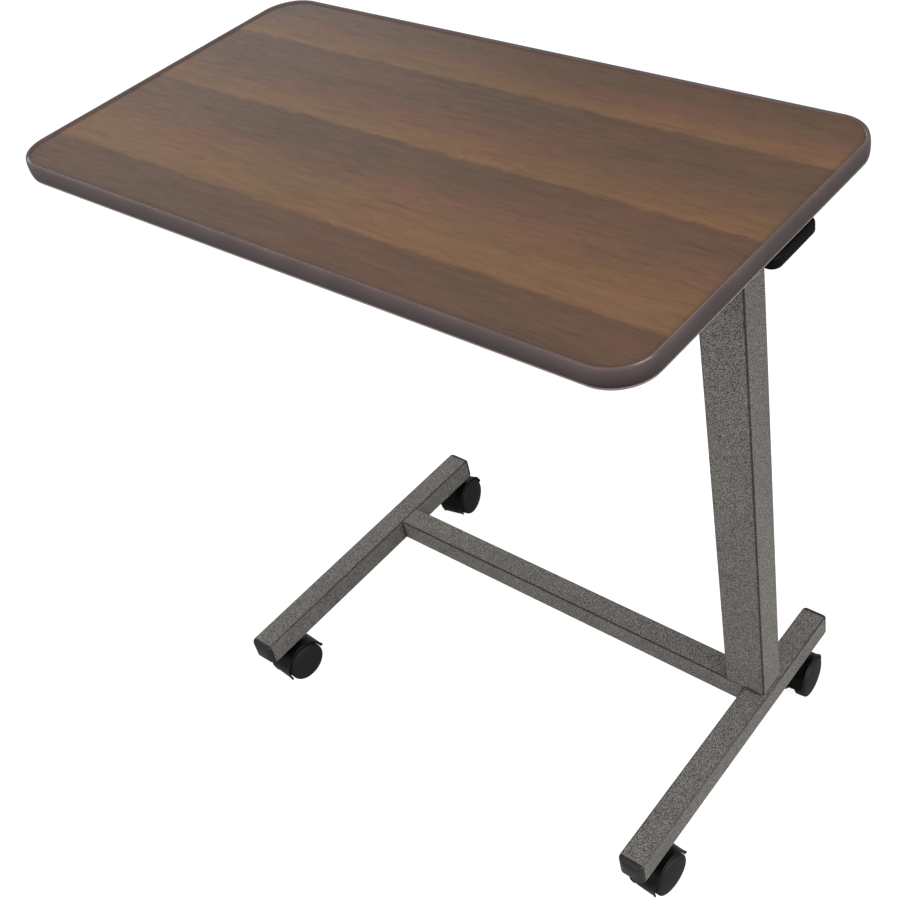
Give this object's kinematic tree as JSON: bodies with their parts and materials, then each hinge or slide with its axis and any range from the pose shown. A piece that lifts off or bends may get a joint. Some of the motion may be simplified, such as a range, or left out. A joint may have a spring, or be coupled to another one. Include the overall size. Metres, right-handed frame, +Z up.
{
  "type": "overbed table",
  "caption": "Wheeled overbed table: walnut-look top with a raised vinyl edge on one height-adjustable column, steel H-base and hooded casters.",
  "frame": {"origin": "on the floor, under the centre of the whole table's footprint", "axes": "+X along the tabletop towards the column, +Y across the tabletop towards the back, +Z up"},
  "size_m": [0.762, 0.448, 0.711],
  "materials": {
    "frame_paint": "hammered metallic dark grey paint, semi-gloss",
    "zinc_steel": "zinc-plated, satin",
    "cylinder_paint": "black paint, semi-gloss",
    "rod_chrome": "hard chrome, polished",
    "lever_paint": "black powder coat",
    "black_plastic": "satin black moulded plastic",
    "grip_plastic": "matt black moulded plastic",
    "hood_plastic": "semi-gloss black nylon",
    "wheel_plastic": "satin dark grey nylon",
    "particle_board": "raw pressed chips",
    "walnut_laminate": "satin walnut-plank laminate",
    "backing_sheet": "matt brown backing laminate",
    "edge_vinyl": "satin dark brown-grey vinyl"
  },
  "bodies": {
    "base": {"left_leg": "frame_paint", "right_leg": "frame_paint", "cross_rail": "frame_paint", "base_welds": "frame_paint", "outer_column": "frame_paint", "column_foot_plate": "zinc_steel", "column_collar": "black_plastic", "gas_spring_cylinder": "cylinder_paint", "gas_spring_gland": "zinc_steel", "front_left_end_cap": "black_plastic", "front_right_end_cap": "black_plastic", "rear_left_end_cap": "black_plastic", "rear_right_end_cap": "black_plastic", "front_left_stem_socket": "black_plastic", "front_right_stem_socket": "black_plastic", "rear_left_stem_socket": "black_plastic", "rear_right_stem_socket": "black_plastic", "front_left_caster_stem": "zinc_steel", "front_right_caster_stem": "zinc_steel", "rear_left_caster_stem": "zinc_steel", "rear_right_caster_stem": "zinc_steel"},
    "top": {"inner_column": "frame_paint", "lower_glide": "black_plastic", "head_plate": "frame_paint", "gas_spring_rod": "rod_chrome", "gas_spring_lock_nut": "zinc_steel", "front_support_rail": "frame_paint", "rear_support_rail": "frame_paint", "left_cross_brace": "frame_paint", "support_screws": "zinc_steel", "tabletop_board": "particle_board", "top_laminate": "walnut_laminate", "backing_laminate": "backing_sheet", "edge_molding": "edge_vinyl", "lever_bracket": "frame_paint", "lever_pivot_pin": "zinc_steel", "lever_return_spring": "zinc_steel"},
    "release_lever": {"release_lever": "lever_paint", "lever_grip": "grip_plastic"},
    "release_pin": {"release_pin": "rod_chrome"},
    "front_left_caster": {"front_left_caster_body": "hood_plastic", "front_left_caster_axle": "zinc_steel"},
    "front_left_left_wheel": {"front_left_caster_left_wheel": "wheel_plastic"},
    "front_left_right_wheel": {"front_left_caster_right_wheel": "wheel_plastic"},
    "front_right_caster": {"front_right_caster_body": "hood_plastic", "front_right_caster_axle": "zinc_steel"},
    "front_right_left_wheel": {"front_right_caster_left_wheel": "wheel_plastic"},
    "front_right_right_wheel": {"front_right_caster_right_wheel": "wheel_plastic"},
    "rear_left_caster": {"rear_left_caster_body": "hood_plastic", "rear_left_caster_axle": "zinc_steel"},
    "rear_left_left_wheel": {"rear_left_caster_left_wheel": "wheel_plastic"},
    "rear_left_right_wheel": {"rear_left_caster_right_wheel": "wheel_plastic"},
    "rear_right_caster": {"rear_right_caster_body": "hood_plastic", "rear_right_caster_axle": "zinc_steel"},
    "rear_right_left_wheel": {"rear_right_caster_left_wheel": "wheel_plastic"},
    "rear_right_right_wheel": {"rear_right_caster_right_wheel": "wheel_plastic"}
  },
  "joints": [
    {"name": "column_slide", "type": "slide", "parent": "base", "child": "top", "axis": [0, 0, 1], "range_m": [0, 0.432]},
    {"name": "release_lever_pivot", "type": "hinge", "parent": "top", "child": "release_lever", "pos_m": [0.343, 0.0463, 0.679], "axis": [0, -1, 0], "range_deg": [0, 7.5], "stiffness_Nm_per_rad": 2, "springref_deg": -17.19, "deforming": ["lever_return_spring"]},
    {"name": "release_pin_slide", "type": "slide", "parent": "top", "child": "release_pin", "axis": [0, 0, -1], "range_m": [0, 0.0026]},
    {"name": "front_left_swivel", "type": "hinge", "parent": "base", "child": "front_left_caster", "pos_m": [-0.2214, -0.198, 0.045], "axis": [0, 0, 1], "continuous": true},
    {"name": "front_left_left_wheel_spin", "type": "hinge", "parent": "front_left_caster", "child": "front_left_left_wheel", "pos_m": [-0.22021, -0.18104, 0.025], "axis": [0.9976, -0.0698, 0], "continuous": true},
    {"name": "front_left_right_wheel_spin", "type": "hinge", "parent": "front_left_caster", "child": "front_left_right_wheel", "pos_m": [-0.22021, -0.18104, 0.025], "axis": [0.9976, -0.0698, 0], "continuous": true},
    {"name": "front_right_swivel", "type": "hinge", "parent": "base", "child": "front_right_caster", "pos_m": [0.3378, -0.198, 0.045], "axis": [0, 0, 1], "continuous": true},
    {"name": "front_right_left_wheel_spin", "type": "hinge", "parent": "front_right_caster", "child": "front_right_left_wheel", "pos_m": [0.33899, -0.18104, 0.025], "axis": [0.9976, -0.0698, 0], "continuous": true},
    {"name": "front_right_right_wheel_spin", "type": "hinge", "parent": "front_right_caster", "child": "front_right_right_wheel", "pos_m": [0.33899, -0.18104, 0.025], "axis": [0.9976, -0.0698, 0], "continuous": true},
    {"name": "rear_left_swivel", "type": "hinge", "parent": "base", "child": "rear_left_caster", "pos_m": [-0.2214, 0.138, 0.045], "axis": [0, 0, 1], "continuous": true},
    {"name": "rear_left_left_wheel_spin", "type": "hinge", "parent": "rear_left_caster", "child": "rear_left_left_wheel", "pos_m": [-0.22493, 0.15463, 0.025], "axis": [0.9781, 0.2079, 0], "continuous": true},
    {"name": "rear_left_right_wheel_spin", "type": "hinge", "parent": "rear_left_caster", "child": "rear_left_right_wheel", "pos_m": [-0.22493, 0.15463, 0.025], "axis": [0.9781, 0.2079, 0], "continuous": true},
    {"name": "rear_right_swivel", "type": "hinge", "parent": "base", "child": "rear_right_caster", "pos_m": [0.3378, 0.138, 0.045], "axis": [0, 0, 1], "continuous": true},
    {"name": "rear_right_left_wheel_spin", "type": "hinge", "parent": "rear_right_caster", "child": "rear_right_left_wheel", "pos_m": [0.33899, 0.12104, 0.025], "axis": [-0.9976, -0.0698, 0], "continuous": true},
    {"name": "rear_right_right_wheel_spin", "type": "hinge", "parent": "rear_right_caster", "child": "rear_right_right_wheel", "pos_m": [0.33899, 0.12104, 0.025], "axis": [-0.9976, -0.0698, 0], "continuous": true}
  ],
  "couplings": [
    {"joint": "release_pin_slide", "follows": "release_lever_pivot", "m_per_rad": 0.0189}
  ]
}
